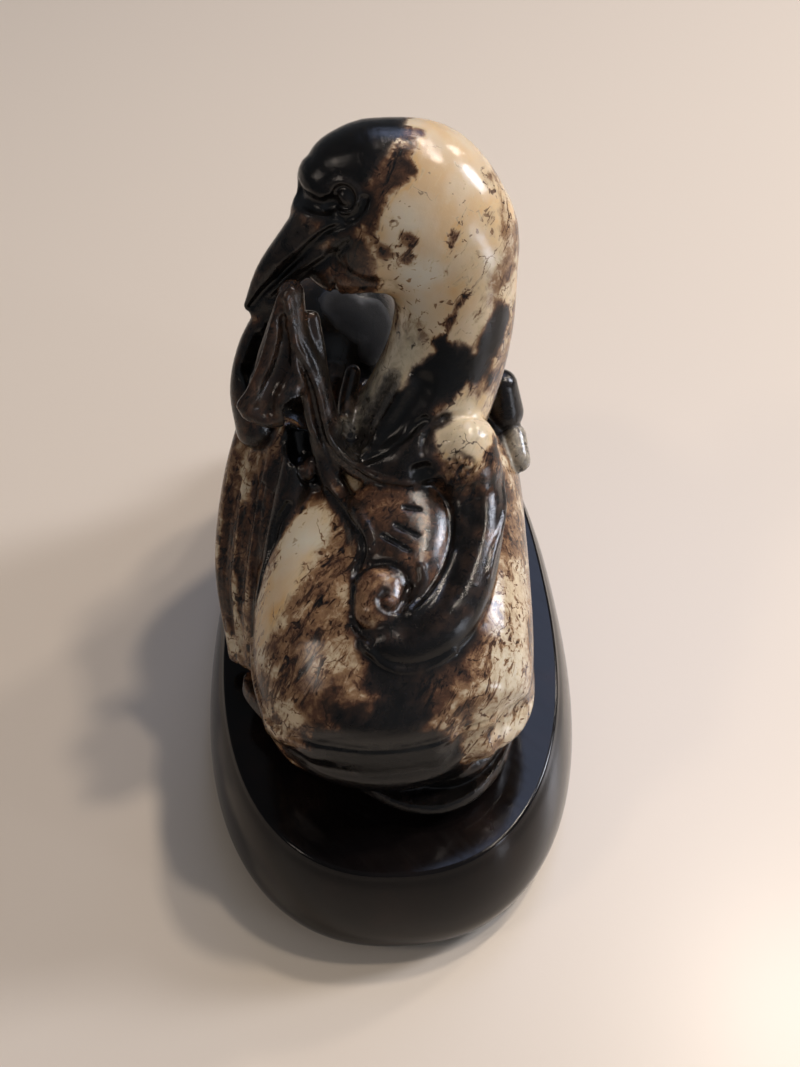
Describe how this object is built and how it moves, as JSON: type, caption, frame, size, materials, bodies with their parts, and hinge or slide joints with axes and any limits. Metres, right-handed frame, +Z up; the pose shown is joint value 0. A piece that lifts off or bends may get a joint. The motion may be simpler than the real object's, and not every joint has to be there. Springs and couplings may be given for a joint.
{
  "type": "carved goose figurine on stand",
  "caption": "Carved jade goose resting with a hooked neck and a leaf in its long beak, on an oval dark wooden stand.",
  "frame": {"origin": "centre of the stand's flat underside, which lies on the table", "axes": "+Z up; +Y along the stand's length from the goose's breast to its tail; -X is the side that the beak points to"},
  "size_m": [0.0484, 0.092, 0.0779],
  "materials": {
    "jade": "polished stone, pale with dark brown and black patches",
    "dark_wood": "polished, nearly black"
  },
  "bodies": {
    "root": {"jade_goose": "jade", "oval_stand": "dark_wood"}
  },
  "joints": []
}
